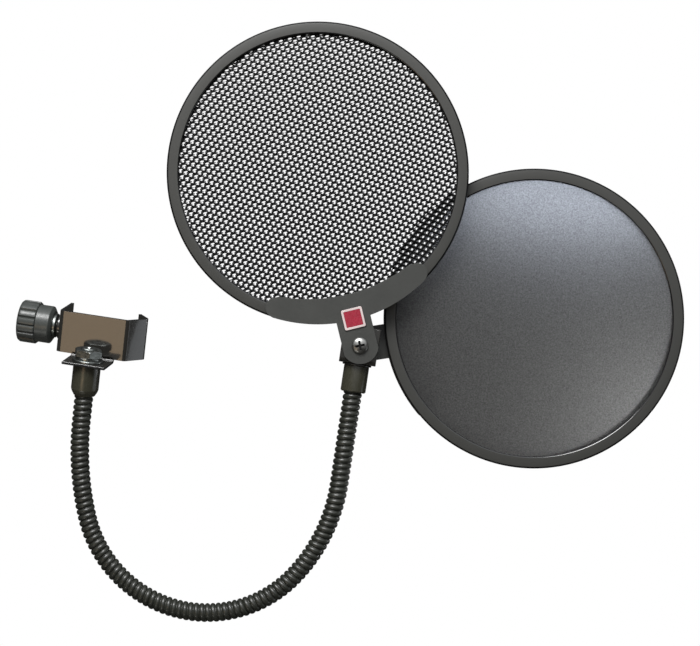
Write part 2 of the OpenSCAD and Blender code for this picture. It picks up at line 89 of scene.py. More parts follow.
# The gooseneck's stretches as (radius, degrees), or (0, length) where it is straight.
DOWN_RUN = [(0, 13), (154, 19), (61.5, 35.5), (61.5, 35.5)]
UP_RUN = [(64.5, 55.5), (88, 34.5), (0, 47.6)]
YOKE_BASE, YOKE_TOP, YOKE_W, YOKE_T, SIDE = -9.6, 9.5, 19, 1.5, 8
ARM_FACE, ARM_T, ARM_LEN = 8.5, 1.5, 91.2
RING_R, RING_W, RING_H, SEAM = 77.5, 6.2, 7, 3.4
RING_IN = RING_R - RING_W
SCREW_CIRCLE = RING_IN + 2.1
FACE_FALL = 0.22  # the ring's face slopes down by this much from its lip to its outer edge
LIP_ROUND, OUTER_ROUND, BACK_ROUND = 0.85, 1.1, 1.6
SHADED_LIP, SHADED_WALL = 0.65, 0.85  # widths of the glossy lip and of the dull outer edge, both painted near black as shade
PIVOT_HOLE_R, STUD_HOLE_R, BUSH_BORE_R, BUSH_R, BUSH_HOLE_R = 2.08, 4.2, 3.08, 6.6, 5
POCKET_R, POCKET_FROM, POCKET_TO = RING_R - 2.1, 2.2, 3.2
METAL_ANGLE, FABRIC_ANGLE = radians(-22.2), radians(72.8)

# ---------------- frames
ROW = Matrix.Identity(4)
PIVOT = Vector(JOINTS["metal_swing"]["pos_m"])
FORWARD = Vector(JOINTS["metal_swing"]["axis"]).normalized()
UP = Vector((0, sin(LEAN), cos(LEAN)))
PIVOT_FRAME = axes(PIVOT, UP.cross(FORWARD), UP, FORWARD)
METAL_FRAME = PIVOT_FRAME @ Matrix.Rotation(-METAL_ANGLE, 4, "Z")
FABRIC_FRAME = PIVOT_FRAME @ Matrix.Rotation(-FABRIC_ANGLE, 4, "Z")
METAL_RING = METAL_FRAME @ Matrix.Translation((0, ARM_LEN * MM, ARM_FACE * MM))
FABRIC_RING = FABRIC_FRAME @ Matrix.Translation((0, ARM_LEN * MM, (RING_H - ARM_FACE) * MM))
STUD_FRAME = Matrix.Translation((NECK_X * MM, -NECK_Y * MM, 0))
SCREW_FRAME = axes((0, 0, 0), (0, 1, 0), (0, 0, 1), (1, 0, 0))
NECK_TOP = axes(PIVOT - UP * (UPPER_LEN + 1 - YOKE_BASE) * MM,
                (1, 0, 0), UP.cross(Vector((1, 0, 0))), UP)


# ---------------- mesh helpers
def linked(name, data):
    """New object in the scene."""
    ob = bpy.data.objects.new(name, data)
    bpy.context.scene.collection.objects.link(ob)
    return ob


def piece(name, verts, faces, place=ROW, sharp=35):
    """Object from vertices in mm in a local frame, smooth up to an angle of sharp degrees."""
    mesh = bpy.data.meshes.new(name)
    mesh.from_pydata((np.asarray(verts, float) * MM).tolist(), [], faces)
    mesh.update()
    mesh.shade_smooth()
    mesh.set_sharp_from_angle(angle=radians(sharp))
    mesh.transform(place)
    return linked(name, mesh)


def fillet(points, steps=5):
    """Points of a polyline given as (x, y, corner radius)."""
    out = []
    for i, (x, y, r) in enumerate(points):
        p = Vector((x, y))
        if r == 0 or i in (0, len(points) - 1):
            out.append((x, y))
            continue
        a = (Vector(points[i - 1][:2]) - p).normalized()
        b = (Vector(points[i + 1][:2]) - p).normalized()
        half = math.acos(max(-1, min(1, a.dot(b)))) / 2
        c = p + (a + b).normalized() * r / sin(half)
        t0 = p + a * r / math.tan(half) - c
        t1 = p + b * r / math.tan(half) - c
        turn = math.atan2(t0.x * t1.y - t0.y * t1.x, t0.dot(t1))
        for k in range(steps + 1):
            w = turn * k / steps
            out.append((c.x + t0.x * cos(w) - t0.y * sin(w), c.y + t0.x * sin(w) + t0.y * cos(w)))
    return out


def lathe(name, profile, place=ROW, around=96, sharp=35, closed=False):
    """Turns (radius, height, corner radius) about the local Z axis. Ends on the axis are closed."""
    pts = fillet(profile)
    if closed:
        pts = fillet([profile[-1]] + list(profile) + [profile[0]])[1:-1]
    verts, rows = [], []
    for r, z in pts:
        if r < 1e-6:
            rows.append([len(verts)] * around)
            verts.append((0, 0, z))
        else:
            rows.append(range(len(verts), len(verts) + around))
            verts += [(r * cos(2 * pi * k / around), r * sin(2 * pi * k / around), z)
                      for k in range(around)]
    faces = []
    last = len(rows) if closed else len(rows) - 1
    for j in range(last):
        a, b = rows[j], rows[(j + 1) % len(rows)]
        for k in range(around):
            n = (k + 1) % around
            face = []
            for v in (a[k], a[n], b[n], b[k]):
                if v not in face:
                    face.append(v)
            if len(face) > 2:
                faces.append(face)
    return piece(name, verts, faces, place, sharp)


def round_edges(ob, width, limit):
    """Rounds the edges sharper than an angle."""
    bevel = ob.modifiers.new("edge", "BEVEL")
    bevel.width, bevel.segments = width, 3
    bevel.limit_method, bevel.angle_limit = "ANGLE", limit
    bevel.harden_normals = True


def pin(name, r, low, high, place, around=96):
    """Plain round cutter along the local Z axis."""
    return lathe(name, [(0, low, 0), (r, low, 0), (r, high, 0), (0, high, 0)], place, around)


def plate(name, loops, low, high, place=ROW, edge=0.25, sharp=35):
    """Solid between two heights with an outline and holes, its edges rounded."""
    bm = bmesh.new()
    edges = []
    for loop in loops:
        vs = [bm.verts.new((x * MM, y * MM, low * MM)) for x, y in loop]
        edges += [bm.edges.new((vs[i], vs[(i + 1) % len(vs)])) for i in range(len(vs))]
    bmesh.ops.triangle_fill(bm, use_beauty=True, use_dissolve=False, edges=edges)
    made = bmesh.ops.extrude_face_region(bm, geom=bm.faces[:] + bm.edges[:])
    top = [v for v in made["geom"] if isinstance(v, bmesh.types.BMVert)]
    bmesh.ops.translate(bm, verts=top, vec=(0, 0, (high - low) * MM))
    bmesh.ops.recalc_face_normals(bm, faces=bm.faces[:])
    mesh = bpy.data.meshes.new(name)
    bm.to_mesh(mesh)
    bm.free()
    mesh.shade_smooth()
    mesh.transform(place)
    ob = linked(name, mesh)
    if edge:
        round_edges(ob, edge * MM, radians(sharp))
    return ob


def bake_modifiers(ob):
    """Replaces an object's mesh with what its modifiers make of it."""
    depsgraph = bpy.context.evaluated_depsgraph_get()
    depsgraph.update()
    mesh = bpy.data.meshes.new_from_object(ob.evaluated_get(depsgraph))
    ob.modifiers.clear()
    ob.data = mesh
    return ob


def carve(ob, cutters):
    """Takes cutters out of an object and removes them. The cut comes before the rounded edges."""
    kept = [(m.width, m.angle_limit) for m in ob.modifiers if m.type == "BEVEL"]
    ob.modifiers.clear()
    for cutter in cutters:
        m = ob.modifiers.new("cut", "BOOLEAN")
        m.operation, m.solver, m.object = "DIFFERENCE", "EXACT", cutter
    bpy.context.view_layer.update()
    bake_modifiers(ob)
    for cutter in cutters:
        bpy.data.objects.remove(cutter)
    ob.data.shade_smooth()
    ob.data.set_sharp_from_angle(angle=radians(35))
    for width, limit in kept:
        round_edges(ob, width, limit)
    return ob


def joined(name, parts):
    """One object made of several, each already in place and with its modifiers baked."""
    bm = bmesh.new()
    for ob in parts:
        bake_modifiers(ob)
        bm.from_mesh(ob.data)
    mesh = bpy.data.meshes.new(name)
    bm.to_mesh(mesh)
    bm.free()
    for old in parts:
        bpy.data.objects.remove(old)
    return linked(name, mesh)


def circle(r, n):
    return [(r * cos(2 * pi * k / n), r * sin(2 * pi * k / n)) for k in range(n)]


def arc(cx, cy, r, start, end, n):
    """Points of an arc between two angles in degrees."""
    return [(cx + r * cos(radians(start + (end - start) * k / n)),
             cy + r * sin(radians(start + (end - start) * k / n))) for k in range(n + 1)]


def round_corner(cx, cy, r, start, end, n=8):
    """An arc as points of a lathe profile."""
    return [(x, y, 0) for x, y in arc(cx, cy, r, start, end, n)]


def cross(length, width, turn):
    """Outline of a screwdriver's cross."""
    a, b = length / 2, width / 2
    quarter = [(a, -b), (a, b), (b, b)]
    out = []
    for q in range(4):
        w = pi / 2 * q + turn
        out += [(x * cos(w) - y * sin(w), x * sin(w) + y * cos(w)) for x, y in quarter]
    return out


def strip_loop(corners, outer_r, thick, steps=12):
    """Outline of a sheet bent along the corners of its outer face, all turning left."""
    def side(inside):
        out = []
        first = Vector(corners[1]) - Vector(corners[0])
        first.normalize()
        out.append(Vector(corners[0]) + Vector((-first.y, first.x)) * inside)
        for i in range(1, len(corners) - 1):
            p = Vector(corners[i])
            before = (p - Vector(corners[i - 1])).normalized()
            after = (Vector(corners[i + 1]) - p).normalized()
            start = math.atan2(before.y, before.x)
            turn = (math.atan2(after.y, after.x) - start) % (2 * pi)
            centre = (p - before * outer_r * math.tan(turn / 2)
                      + Vector((-sin(start), cos(start))) * outer_r)
            for k in range(steps + 1):
                w = start - pi / 2 + turn * k / steps
                out.append(centre + Vector((cos(w), sin(w))) * (outer_r - inside))
        last = (Vector(corners[-1]) - Vector(corners[-2])).normalized()
        out.append(Vector(corners[-1]) + Vector((-last.y, last.x)) * inside)
        return out
    return [tuple(p) for p in side(0) + side(thick)[::-1]]


def thread(name, length, major, minor, pitch, place, around=40, rows=8):
    """Screw thread along the local Z axis."""
    turns = int(length / pitch)
    verts, faces = [], []
    total = turns * rows + 1
    for j in range(total):
        for k in range(around):
            phase = ((j / rows - k / around) % 1.0)
            depth = abs(phase * 2 - 1)
            taper = min(1, j / rows, (total - 1 - j) / rows)
            r = minor + (major - minor) * min(1, max(0, depth * 1.5 - 0.2)) * taper
            verts.append((r * cos(2 * pi * k / around), r * sin(2 * pi * k / around),
                          j * length / (total - 1)))
    for j in range(total - 1):
        for k in range(around):
            n = (k + 1) % around
            faces.append((j * around + k, j * around + n, (j + 1) * around + n,
                          (j + 1) * around + k))
    faces.append(tuple(range(around))[::-1])
    faces.append(tuple((total - 1) * around + k for k in range(around)))
    return piece(name, verts, faces, place, 50)


# ---------------- material helpers
def material(name, color, roughness=0.5, metallic=0.0, coat=0.0, coat_rough=0.1, sheen=0.0,
             mottle=0.12, mottle_scale=60, grain=900, grain_bump=0.15, rough_vary=0.1,
             specular=0.5, stretch=(1, 1, 1)):
    """Procedural finish: soft mottling in the colour, fine grain in bump and roughness."""
    mat = bpy.data.materials.new(name)
    mat.use_nodes = True
    nt = mat.node_tree
    nodes, links = nt.nodes, nt.links
    bsdf = nodes["Principled BSDF"]
    bsdf.inputs["Metallic"].default_value = metallic
    bsdf.inputs["Coat Weight"].default_value = coat
    bsdf.inputs["Coat Roughness"].default_value = coat_rough
    bsdf.inputs["Sheen Weight"].default_value = sheen
    bsdf.inputs["Specular IOR Level"].default_value = specular
    coords = nodes.new("ShaderNodeTexCoord")
    mapping = nodes.new("ShaderNodeMapping")
    mapping.inputs["Scale"].default_value = stretch
    links.new(coords.outputs["Object"], mapping.inputs["Vector"])

    def noise(scale, detail=3, rough=0.55):
        n = nodes.new("ShaderNodeTexNoise")
        n.inputs["Scale"].default_value = scale
        n.inputs["Detail"].default_value = detail
        n.inputs["Roughness"].default_value = rough
        links.new(mapping.outputs["Vector"], n.inputs["Vector"])
        return n

    def ranged(source, low, high):
        """Spreads the middle of a noise, 0.3 to 0.7, over a range."""
        r = nodes.new("ShaderNodeMapRange")
        r.inputs["From Min"].default_value = 0.3
        r.inputs["From Max"].default_value = 0.7
        r.inputs["To Min"].default_value = low
        r.inputs["To Max"].default_value = high
        links.new(source, r.inputs["Value"])
        return r.outputs["Result"]

    big, fine = noise(mottle_scale), noise(grain, 2)
    mix = nodes.new("ShaderNodeMix")
    mix.data_type = "RGBA"
    mix.inputs["A"].default_value = [c * (1 - mottle) for c in color] + [1]
    mix.inputs["B"].default_value = [min(1, c * (1 + mottle)) for c in color] + [1]
    links.new(ranged(big.outputs["Fac"], 0, 1), mix.inputs["Factor"])
    shade = mix.outputs["Result"]
    links.new(shade, bsdf.inputs["Base Color"])
    links.new(ranged(fine.outputs["Fac"], roughness - rough_vary, roughness + rough_vary),
              bsdf.inputs["Roughness"])
    bump = nodes.new("ShaderNodeBump")
    bump.inputs["Strength"].default_value = grain_bump
    bump.inputs["Distance"].default_value = 0.00012
    links.new(fine.outputs["Fac"], bump.inputs["Height"])
    links.new(bump.outputs["Normal"], bsdf.inputs["Normal"])
    return mat


def finish_piece(ob, body, slot, mat, *nodes):
    """Dresses a piece, puts it on its body and hides the CAD nodes it stands for."""
    ob.data.materials.clear()
    for m in mat if isinstance(mat, (list, tuple)) else [mat]:
        ob.data.materials.append(m)
    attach(ob, body)
    if nodes:
        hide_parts(*nodes)
    return ob


# ---------------- finishes
CLAMP_PAINT = material("clamp_paint", (0.02, 0.019, 0.017), roughness=0.16, coat=0.8,
                       coat_rough=0.06, mottle=0.08, mottle_scale=90, grain=1400, grain_bump=0.03,
                       rough_vary=0.03)
ARM_PAINT = material("arm_paint", (0.038, 0.039, 0.036), roughness=0.38, coat=0.15, coat_rough=0.25,
                     mottle=0.1, grain=1500, grain_bump=0.12)
FERRULE_PAINT = material("ferrule_paint", (0.034, 0.033, 0.023), roughness=0.28, coat=0.3,
                         coat_rough=0.2, grain=1200, grain_bump=0.1, stretch=(1, 1, 0.3))
ZINC = material("zinc", (0.27, 0.285, 0.275), roughness=0.32, metallic=1.0, mottle=0.18,
                mottle_scale=300, grain=2500, grain_bump=0.12, rough_vary=0.12)
SCREW_STEEL = material("screw_steel", (0.3, 0.3, 0.29), roughness=0.36, metallic=1.0, mottle=0.2,
                       mottle_scale=500, grain=2600, grain_bump=0.12)
# Painted shade: a near black, dull finish laid in the pivot screw's recess and on the clamp sheet's
# cut edges, where shade falls.
SHADE_PAINT_BLACK = material("painted_shade_black", (0.01, 0.01, 0.01), roughness=0.7, grain_bump=0.1,
                       specular=0.2)
CORE_STEEL = material("core_steel", (0.4, 0.4, 0.4), roughness=0.4, metallic=1.0, grain=1800)
KNOB_PLASTIC = material("knob_plastic", (0.046, 0.05, 0.047), roughness=0.31, mottle_scale=150,
                        grain=1600, grain_bump=0.2)
RUBBER = material("rubber", (0.03, 0.03, 0.03), roughness=0.8, grain_bump=0.4)
NECK_FINISH = material("neck_finish", (0.021, 0.0225, 0.018), roughness=0.34, coat=0.1,
                       coat_rough=0.3, mottle=0.18, mottle_scale=120, grain=1500)
RIM_PLASTIC = material("rim_plastic", (0.037, 0.037, 0.034), roughness=0.4, mottle=0.07,
                       mottle_scale=25, grain=1800, grain_bump=0.25, rough_vary=0.06,
                       specular=0.45)
# Painted shade: near black copies of the rim's finish, glossy for the lip and the back bezel, dull
# for the outer wall.
RIM_GLOSS_SHADE = material("rim_gloss_shade", (0.005, 0.005, 0.005), roughness=0.16, coat=1.0, coat_rough=0.05,
                    mottle=0.07, grain=1800, grain_bump=0.05, rough_vary=0.04)
RIM_WALL_SHADE = material("rim_wall_shade", (0.005, 0.005, 0.005), roughness=0.5, mottle=0.07, grain=1800,
                    grain_bump=0.05, rough_vary=0.04, specular=0.15)
# The mesh's finish in two copies: glossy on the faces that lean up, and darker and duller on the
# rest as painted shade.
MESH_METAL = material("mesh_metal", (0.006, 0.006, 0.007), roughness=0.22, mottle=0.15,
                      mottle_scale=200, grain=2500, grain_bump=0.05, rough_vary=0.05, specular=0.9)
MESH_SHADE_PAINT = material("mesh_shade_paint", (0.0015, 0.0015, 0.0015), roughness=0.45, mottle=0.3,
                        mottle_scale=200, grain=2500, grain_bump=0.05, specular=0.1)
BADGE_BLACK = material("badge_black", (0.02, 0.02, 0.02), roughness=0.35, grain_bump=0.08)
BADGE_PALE = material("badge_pale", (0.55, 0.46, 0.45), roughness=0.35, coat=0.4, grain_bump=0.05)
BADGE_RED = material("badge_red", (0.27, 0.012, 0.03), roughness=0.3, coat=0.5, mottle=0.1,
                     mottle_scale=300, grain_bump=0.08)


STITCH = 0.42  # mm from one row of stitches to the next


def cloth_finish():
    """Fine knitted nylon: two crossed rows of stitches, slightly uneven, with a soft sheen. Part of
    the light passes through it, more in some places than in others."""
    mat = material("cloth", (0.038, 0.038, 0.037), roughness=0.62, sheen=0.1, mottle=0.5,
                   mottle_scale=1400, grain=1300, grain_bump=0.5, specular=0.35)
    nt = mat.node_tree
    nodes, links = nt.nodes, nt.links
    bsdf = nodes["Principled BSDF"]
    bsdf.inputs["Sheen Roughness"].default_value = 0.4
    coords = nodes.new("ShaderNodeMapping")
    coords.vector_type = "TEXTURE"
    coords.inputs["Location"].default_value = FABRIC_RING.to_translation()
    coords.inputs["Rotation"].default_value = FABRIC_RING.to_euler()
    links.new(next(n for n in nodes if n.bl_idname == "ShaderNodeTexCoord").outputs["Object"],
              coords.inputs["Vector"])
    waves = []
    for direction in ("X", "Y"):
        w = nodes.new("ShaderNodeTexWave")
        w.wave_type, w.bands_direction, w.wave_profile = "BANDS", direction, "SIN"
        w.inputs["Scale"].default_value = 2 * pi / (STITCH * MM) / 20
        w.inputs["Distortion"].default_value = 0.6
        w.inputs["Detail"].default_value = 1
        links.new(coords.outputs["Vector"], w.inputs["Vector"])
        waves.append(w)
    times = nodes.new("ShaderNodeMath")
    times.operation = "MULTIPLY"
    links.new(waves[0].outputs["Fac"], times.inputs[0])
    links.new(waves[1].outputs["Fac"], times.inputs[1])
    bump = next(n for n in nodes if n.bl_idname == "ShaderNodeBump")
    bump.inputs["Distance"].default_value = 0.0001
    links.new(times.outputs["Value"], bump.inputs["Height"])
    # darker between the stitches
    old = bsdf.inputs["Base Color"].links[0].from_socket
    dark = nodes.new("ShaderNodeMix")
    dark.data_type, dark.blend_type = "RGBA", "MULTIPLY"
    dark.inputs["Factor"].default_value = 0.75
    tone = nodes.new("ShaderNodeMapRange")
    tone.inputs["To Min"].default_value = 0.55
    tone.inputs["To Max"].default_value = 1.25
    links.new(times.outputs["Value"], tone.inputs["Value"])
    links.new(old, dark.inputs["A"])
    links.new(tone.outputs["Result"], dark.inputs["B"])
    links.new(dark.outputs["Result"], bsdf.inputs["Base Color"])
    # light that passes through, uneven in step with the mottling
    through = nodes.new("ShaderNodeBsdfTranslucent")
    uneven = nodes.new("ShaderNodeMix")
    uneven.data_type = "RGBA"
    uneven.inputs["A"].default_value = (0.21, 0.21, 0.21, 1)
    uneven.inputs["B"].default_value = (0.39, 0.39, 0.39, 1)
    links.new(old.node.inputs["Factor"].links[0].from_socket, uneven.inputs["Factor"])
    links.new(uneven.outputs["Result"], through.inputs["Color"])
    both = nodes.new("ShaderNodeMixShader")
    both.inputs["Fac"].default_value = 0.35
    links.new(bsdf.outputs["BSDF"], both.inputs[1])
    links.new(through.outputs["BSDF"], both.inputs[2])
    links.new(both.outputs["Shader"], nodes["Material Output"].inputs["Surface"])
    return mat


CLOTH = cloth_finish()

# ---------------- clamp
clamp_corners = [(FLANGE_X, FLANGE_D - PLATE_Y), (FLANGE_X, -PLATE_Y), (VEE_ROOT_X, -PLATE_Y),
                 (VEE_X, 0), (VEE_X - LIP_D / math.tan(VEE_ANGLE), LIP_D)]
strip = plate("clamp_strip", [strip_loop(clamp_corners, BEND_R, STRIP_T)], -STRIP_H / 2,
              STRIP_H / 2, edge=0.06)
carve(strip, [pin("bush_hole", BUSH_HOLE_R, FLANGE_X - 3, FLANGE_X + 4, SCREW_FRAME)])
root = (-PLATE_Y + STRIP_T, -STRIP_H / 2 + STRIP_T)
tab_frame = axes((NECK_X * MM, 0, 0), (0, 1, 0), (0, 0, 1), (1, 0, 0))
tab = plate("clamp_tab", [strip_loop([(-TAB_Y, TAB_BOTTOM), (root[0], TAB_BOTTOM), root],
                                     STRIP_T + 0.8, STRIP_T)], -TAB_W / 2, TAB_W / 2, tab_frame,
            0.45)
carve(tab, [pin("stud_hole", STUD_HOLE_R, TAB_BOTTOM - 2, TAB_TOP + 2, STUD_FRAME)])
bracket = finish_piece(joined("clamp_strip_and_tab", [strip, tab]), "clamp", "clamp_paint",
                       (CLAMP_PAINT, SHADE_PAINT_BLACK), "clamp_bracket")
# The sheet's cut edges are dull and painted near black as shade: they face up or down on the strip,
# and sideways on the tab.
for face in bracket.data.polygons:
    upright = abs(face.normal.z) < 0.7
    if upright == (face.center.z < (TAB_TOP + 0.2) * MM):
        face.material_index = 1

BOSS_T = 2.1
BUSH_END = FLANGE_X + STRIP_T + 0.3
bush = lathe("screw_bush_turned",
             [(BUSH_BORE_R, FLANGE_X - BOSS_T, 0.2), (BUSH_R, FLANGE_X - BOSS_T, 0.4),
              (BUSH_R, FLANGE_X, 0.1), (BUSH_HOLE_R, FLANGE_X, 0), (BUSH_HOLE_R, BUSH_END, 0.25),
              (BUSH_BORE_R, BUSH_END, 0.2)], SCREW_FRAME, closed=True)
finish_piece(bush, "clamp", "clamp_paint", CLAMP_PAINT, "screw_bush")

# ---------------- knob and clamp screw
SHOULDER_X = FLANGE_X - BOSS_T - 0.8
COLLAR_X = SHOULDER_X - 2
GRIP_X = COLLAR_X - 8.3
KNOB_END_X = GRIP_X - 9.6
GRIP_R, COLLAR_R, INSERT_R = 11, 9.75, 5
FLUTES, FLUTE_STEPS, GROOVE_D, GROOVE_SHARE, CROWN = 16, 16, 0.85, 0.3, 0.22


def knob_shape():
    """Fluted grip that runs into a plain collar, its lands slightly crowned between the grooves."""
    outline = fillet([(7.6, KNOB_END_X + 1.2, 0), (7.6, KNOB_END_X, 0.3), (GRIP_R, KNOB_END_X, 1.5),
                      (GRIP_R, GRIP_X, 0.7), (COLLAR_R, GRIP_X + 0.1, 0.2),
                      (COLLAR_R, COLLAR_X - 1.3, 0.7), (7.6, COLLAR_X, 0.4),
                      (INSERT_R, COLLAR_X, 0)], 6)
    dense = [outline[0]]
    for a, b in zip(outline, outline[1:]):
        n = max(1, int(math.dist(a, b) / 0.6))
        dense += [(a[0] + (b[0] - a[0]) * k / n, a[1] + (b[1] - a[1]) * k / n)
                  for k in range(1, n + 1)]
    around = FLUTES * FLUTE_STEPS
    verts = []
    for r, x in dense:
        run_in = min(1, max(0, (r - GRIP_R + 1.1) / 0.6)) if x < GRIP_X + 0.05 else 0
        for k in range(around):
            f = abs(((k / FLUTE_STEPS) % 1) - 0.5) * 2
            groove = max(0, 1 - (1 - f) / GROOVE_SHARE)
            radius = r - run_in * (GROOVE_D * groove ** 0.6 + CROWN * f * f)
            w = 2 * pi * k / around
            verts.append((radius * cos(w), radius * sin(w), x))
    faces = [(j * around + k, j * around + (k + 1) % around, (j + 1) * around + (k + 1) % around,
              (j + 1) * around + k) for j in range(len(dense) - 1) for k in range(around)]
    return piece("knob_grip", verts, faces, SCREW_FRAME, 40)


finish_piece(knob_shape(), "knob", "knob_plastic", KNOB_PLASTIC, "knob_body")
cap = lathe("knob_end_cap", [(0, KNOB_END_X + 0.5, 0), (5.6, KNOB_END_X + 0.5, 0.3),
                             (6.1, KNOB_END_X + 0.1, 0.3), (7.4, KNOB_END_X + 0.1, 0.3),
                             (7.4, KNOB_END_X + 1.4, 0), (0, KNOB_END_X + 1.4, 0)], SCREW_FRAME)
finish_piece(cap, "knob", "knob_plastic", KNOB_PLASTIC, "knob_cap")
SCREW_START_X, SCREW_R, BALL_R = COLLAR_X - 10, 3, 2.4
insert = lathe("knob_insert_turned", [(SCREW_R, SCREW_START_X, 0), (INSERT_R, SCREW_START_X, 0),
                                      (INSERT_R, COLLAR_X, 0), (6.3, COLLAR_X, 0.3),
                                      (6.3, SHOULDER_X - 0.6, 0.3), (5.6, SHOULDER_X, 0.2),
                                      (SCREW_R, SHOULDER_X, 0)], SCREW_FRAME)
finish_piece(insert, "knob", "fastener_steel", ZINC, "knob_insert")
PAD_FACE_X, FACING_T, PAD_T = -2, 1.8, 3.7
PAD_BACK_X = PAD_FACE_X - FACING_T - PAD_T
BALL_X = PAD_FACE_X - FACING_T - 3
rod = thread("clamp_screw_thread", PAD_BACK_X - 0.8 - SCREW_START_X, SCREW_R, 2.55, 1.0,
             SCREW_FRAME @ Matrix.Translation((0, 0, SCREW_START_X * MM)), 48, 10)
tip = lathe("clamp_screw_tip", [(0, PAD_BACK_X - 1.2, 0), (2.5, PAD_BACK_X - 1.2, 0.2),
                                (1.9, PAD_BACK_X - 0.3, 0.1), (1.9, BALL_X - 1.6, 0.3)]
            + [(BALL_R * sin(w), BALL_X - BALL_R * cos(w), 0) for w in np.linspace(0.9, pi, 12)],
            SCREW_FRAME, 48)
finish_piece(joined("clamp_screw_rod", [rod, tip]), "knob", "fastener_steel", SCREW_STEEL,
             "clamp_screw")
pad = lathe("pad_cup", [(2.7, PAD_BACK_X, 0.2), (4.6, PAD_BACK_X, 0.3),
                        (5.4, PAD_BACK_X + 1.3, 0.8), (7, PAD_BACK_X + 1.8, 0.4),
                        (7, PAD_BACK_X + PAD_T, 0.2), (2.9, PAD_BACK_X + PAD_T, 0)],
            SCREW_FRAME, closed=True)
finish_piece(pad, "pad", "fastener_steel", ZINC, "pressure_pad")
rings = []
for k in range(4):
    r = 1.6 + 1.25 * k
    rings += [(r, PAD_FACE_X, 0.15), (r + 0.25, PAD_FACE_X - 0.3, 0.1),
              (r + 0.5, PAD_FACE_X - 0.3, 0.1), (r + 0.75, PAD_FACE_X, 0.15)]
facing = lathe("pad_rubber_face", [(0, PAD_FACE_X - FACING_T, 0), (6.5, PAD_FACE_X - FACING_T, 0.2),
                                   (6.5, PAD_FACE_X, 0.4)] + rings[::-1] + [(0, PAD_FACE_X, 0)],
               SCREW_FRAME)
finish_piece(facing, "pad", "pad_rubber", RUBBER, "pad_facing")

# ---------------- stud, washers, nut, lower ferrule
WASHER_T, LOCK_T, NUT_T = 1.2, 1.2, 4
washer = lathe("tab_washer_ring",
               [(STUD_HOLE_R, TAB_TOP, 0.1), (8, TAB_TOP, 0.3), (8, TAB_TOP + WASHER_T, 0.4),
                (STUD_HOLE_R, TAB_TOP + WASHER_T, 0.1)], STUD_FRAME, closed=True)
finish_piece(washer, "clamp", "fastener_steel", ZINC, "tab_washer")


def split_washer(name, z, inner, outer, thick, gap, around=72):
    """Spring washer, pressed flat: a ring with a slanted slit."""
    section = [(inner, 0), (outer - 0.2, 0), (outer, 0.2), (outer, thick - 0.2),
               (outer - 0.2, thick), (inner, thick)]
    verts, faces, n = [], [], len(section)
    for k in range(around + 1):
        w = gap + (2 * pi - 2 * gap) * k / around
        for r, h in section:
            slant = 0.06 * (h / thick - 0.5)
            verts.append((r * cos(w + slant), r * sin(w + slant), z + h))
    for k in range(around):
        faces += [(k * n + i, (k + 1) * n + i, (k + 1) * n + (i + 1) % n, k * n + (i + 1) % n)
                  for i in range(n)]
    faces += [tuple(range(n)), tuple(around * n + i for i in range(n))[::-1]]
    return piece(name, verts, faces, STUD_FRAME, 30)


finish_piece(split_washer("split_washer_ring", TAB_TOP + WASHER_T, STUD_HOLE_R, 6.6, LOCK_T, 0.08),
             "clamp", "fastener_steel", ZINC, "lock_washer")


def hex_nut(name, flats, thick, bore, place, turn):
    """Hexagon nut with its corners turned down and its bore countersunk."""
    corner = flats / 2 / cos(pi / 6)
    around, verts, faces = 120, [], []
    bevel, face_r = (corner - flats / 2) * 0.62, flats / 2 * 0.95
    section = [(bore, 0.5), (bore + 0.5, 0), (face_r, 0)]
    section += [(face_r + (corner - face_r) * k / 6, bevel * (k / 6) ** 1.6) for k in range(1, 7)]
    section += [(r, thick - h) for r, h in section[::-1]]
    for r, h in section:
        for k in range(around):
            w = 2 * pi * k / around
            side = (w + pi / 6) % (pi / 3) - pi / 6
            radius = min(r, flats / 2 / cos(side))
            verts.append((radius * cos(w + turn), radius * sin(w + turn), h))
    rows = len(section)
    for j in range(rows):
        for k in range(around):
            n, m = (k + 1) % around, (j + 1) % rows
            faces.append((j * around + k, j * around + n, m * around + n, m * around + k))
    return piece(name, verts, faces, place, 28)


NUT_Z = TAB_TOP + WASHER_T + LOCK_T
nut = hex_nut("tab_hex_nut", 13, NUT_T, 4, STUD_FRAME @ Matrix.Translation((0, 0, NUT_Z * MM)),
              radians(20))
finish_piece(nut, "clamp", "fastener_steel", ZINC, "tab_nut")
LOWER_Z = TAB_BOTTOM - LOWER_LEN
STUD_TOP = NUT_Z + NUT_T + 0.7
ferrule = lathe("lower_ferrule_body", [(5.0, LOWER_Z + SOCKET, 0), (5.0, LOWER_Z + 1.1, 0.2),
                                       (5.4, LOWER_Z + 0.8, 0.2), (6.5, LOWER_Z + 2.6, 1.2),
                                       (7.1, LOWER_Z + 4.2, 2.5), (7.1, TAB_BOTTOM - 0.05, 0.4),
                                       (4, TAB_BOTTOM - 0.05, 0), (4, STUD_TOP - 0.5, 0.1),
                                       (3.5, STUD_TOP, 0.1), (1.7, STUD_TOP, 0.1),
                                       (1.2, STUD_TOP - 0.8, 0), (0, STUD_TOP - 1.1, 0)],
                STUD_FRAME, 128)
finish_piece(ferrule, "clamp", "ferrule_paint", (FERRULE_PAINT, ZINC), "lower_ferrule")
for face in ferrule.data.polygons:  # the stud, above the tab's lower face, is bare
    if face.center.z > TAB_BOTTOM * MM:
        face.material_index = 1

# ---------------- gooseneck
PITCH, ROWS, AROUND, RIB_R = 3.05, 12, 64, 1.62


def stretch_length(radius, amount):
    return amount if radius == 0 else radius * radians(amount)


